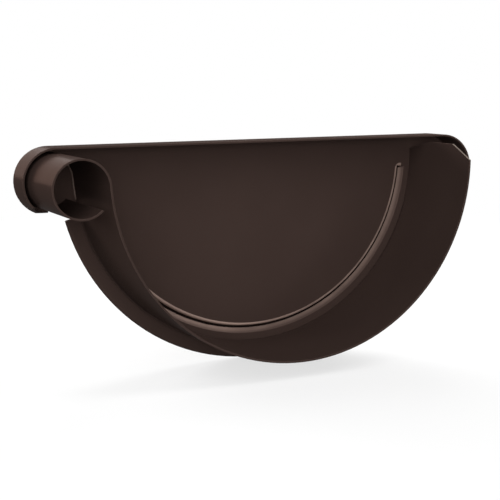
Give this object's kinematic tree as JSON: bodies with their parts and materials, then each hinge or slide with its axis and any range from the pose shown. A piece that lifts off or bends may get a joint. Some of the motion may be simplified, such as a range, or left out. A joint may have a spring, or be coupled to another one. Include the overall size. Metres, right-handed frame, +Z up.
{
  "type": "gutter end cap",
  "caption": "Half-round steel gutter end cap: a ribbed plate with a lip, seamed to a skirt that grips the gutter and curls into a socket for its front bead.",
  "frame": {"origin": "axis of the half-round skirt, on the inner face of the end plate", "axes": "+X towards the gutter's back edge, +Y out of the gutter through the plate, +Z up"},
  "size_m": [0.1651, 0.0397, 0.0759],
  "materials": {
    "coated_steel": "semi-gloss dark brown coil coating"
  },
  "bodies": {
    "root": {"end_plate": "coated_steel", "gutter_skirt": "coated_steel"}
  },
  "joints": []
}
